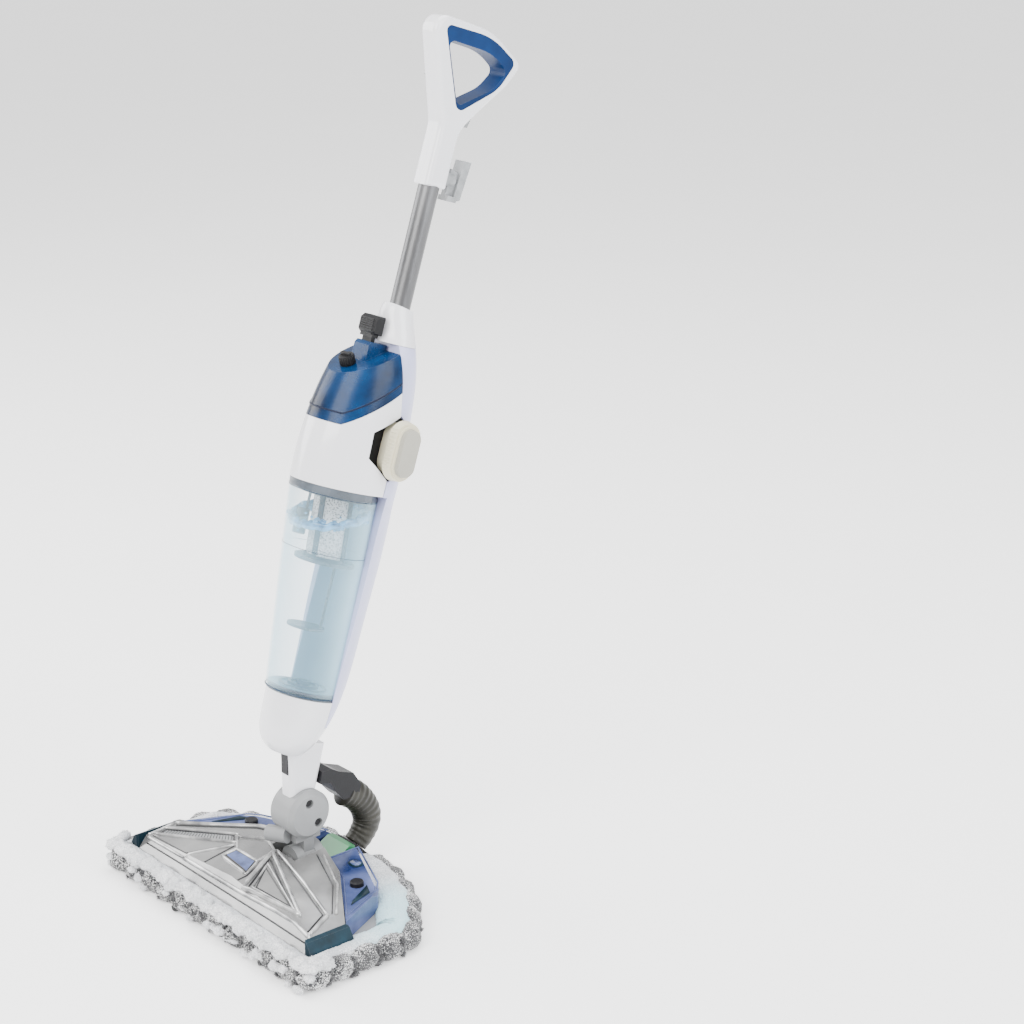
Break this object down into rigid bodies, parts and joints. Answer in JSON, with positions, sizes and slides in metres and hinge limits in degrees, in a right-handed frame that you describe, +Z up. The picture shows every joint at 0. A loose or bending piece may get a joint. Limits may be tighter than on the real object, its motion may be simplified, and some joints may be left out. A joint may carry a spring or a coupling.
{
  "type": "steam mop",
  "caption": "Upright steam mop with a pivoting fringed pad head, a clear lower jar, a blue water tank, a side dial and a loop handle.",
  "frame": {"origin": "on the floor, on the pad's underside, below the middle of the swivel barrel", "axes": "+Z up, -Y towards the front edge of the head, +X towards the side with the dial"},
  "size_m": [0.412, 0.4688, 0.9884],
  "materials": {
    "fleece": "soft pile",
    "chenille": "shaggy",
    "grey_plastic": "satin",
    "clear_silver": "tinted clear",
    "slate_blue": "tinted clear",
    "dark_plastic": "satin",
    "teal_plastic": "gloss",
    "steel": "brushed",
    "green_plastic": "gloss",
    "dark_rubber": "matt",
    "white_plastic": "gloss",
    "cast_metal": "cast",
    "lavender_plastic": "gloss",
    "board": "satin",
    "tube_metal": "satin",
    "blue_grip": "gloss",
    "cream_plastic": "gloss",
    "beige_plastic": "satin",
    "clear_plastic": "clear",
    "grey_rim": "satin",
    "mesh": "woven",
    "blue_clear": "tinted clear",
    "light_grey": "gloss"
  },
  "bodies": {
    "head": {"mop_pad": "fleece", "pad_fringe": "chenille", "pad_border": "fleece", "sole_plate": "grey_plastic", "front_cover": "clear_silver", "rear_tray_left": "slate_blue", "rear_tray_right": "slate_blue", "tray_plugs": "dark_plastic", "end_clips": "teal_plastic", "steam_manifold": "dark_plastic", "swivel_mount": "grey_plastic", "tilt_pin": "steel", "pedal_pin": "steel", "hose_socket": "dark_plastic"},
    "pedal": {"pedal": "green_plastic"},
    "swivel": {"swivel_lug": "grey_plastic", "barrel_housing": "grey_plastic", "barrel_caps": "grey_plastic", "barrel_screws": "steel", "recline_axle": "steel", "steam_elbow": "grey_plastic", "suction_hose": "dark_rubber"},
    "body": {"neck": "white_plastic", "neck_inset": "dark_plastic", "duct_elbow": "dark_plastic", "lower_cap": "white_plastic", "boiler": "cast_metal", "heater_element": "steel", "steam_pipe": "dark_rubber", "back_shell": "lavender_plastic", "collar": "white_plastic", "housing": "white_plastic", "dial_well": "dark_plastic", "fan_housing": "dark_plastic", "suction_motor": "steel", "pump": "dark_plastic", "control_board": "board", "cord_gland": "dark_rubber", "tube": "tube_metal", "handle_left": "white_plastic", "handle_right": "white_plastic", "handle_screws": "steel", "grip": "blue_grip", "hook_mount": "dark_plastic"},
    "dial": {"dial": "cream_plastic", "dial_plate": "beige_plastic"},
    "jar": {"jar": "clear_plastic", "jar_rim": "grey_rim", "jar_floor": "dark_plastic", "filter_mesh": "mesh", "filter_frame": "grey_rim", "separator_disc": "grey_rim", "side_cup": "grey_rim"},
    "water_tank": {"water_tank": "blue_clear", "tank_base": "blue_clear", "tank_valve": "dark_plastic"},
    "latch": {"tank_latch": "dark_plastic"},
    "fill_cap": {"fill_cap": "dark_plastic"},
    "cord_hook": {"cord_hook": "light_grey"},
    "trigger": {"steam_trigger": "grey_plastic"}
  },
  "joints": [
    {"name": "side_tilt", "type": "hinge", "parent": "head", "child": "swivel", "pos_m": [0, 0.003, 0.043], "axis": [0, 1, 0], "range_deg": [-18, 18], "deforming": ["suction_hose"]},
    {"name": "recline", "type": "hinge", "parent": "swivel", "child": "body", "pos_m": [0, 0, 0.1026], "axis": [-1, 0, 0], "range_deg": [-18.5, 45], "deforming": ["suction_hose"]},
    {"name": "pedal_press", "type": "hinge", "parent": "head", "child": "pedal", "pos_m": [0, 0.033, 0.031], "axis": [-1, 0, 0], "range_deg": [0, 10], "stiffness_Nm_per_rad": 1},
    {"name": "dial_turn", "type": "hinge", "parent": "body", "child": "dial", "pos_m": [0, 0.10895, 0.52591], "axis": [1, 0, 0], "range_deg": [-60, 60]},
    {"name": "jar_pull", "type": "slide", "parent": "body", "child": "jar", "axis": [0, -0.9483, 0.3173], "range_m": [0, 0.12]},
    {"name": "tank_pull", "type": "slide", "parent": "body", "child": "water_tank", "axis": [0, -0.9483, 0.3173], "range_m": [0, 0.09]},
    {"name": "latch_press", "type": "slide", "parent": "water_tank", "child": "latch", "axis": [0, -0.3173, -0.9483], "range_m": [0, 0.004], "stiffness_N_per_m": 600},
    {"name": "cap_turn", "type": "hinge", "parent": "water_tank", "child": "fill_cap", "pos_m": [0, 0.08394, 0.61821], "axis": [0, -0.2158, 0.9764], "range_deg": [0, 90]},
    {"name": "hook_turn", "type": "hinge", "parent": "body", "child": "cord_hook", "pos_m": [0, 0.23481, 0.80436], "axis": [0, 0.9483, -0.3173], "range_deg": [0, 180]},
    {"name": "trigger_press", "type": "slide", "parent": "body", "child": "trigger", "axis": [0, -0.9483, 0.3173], "range_m": [0, 0.003], "stiffness_N_per_m": 500}
  ]
}
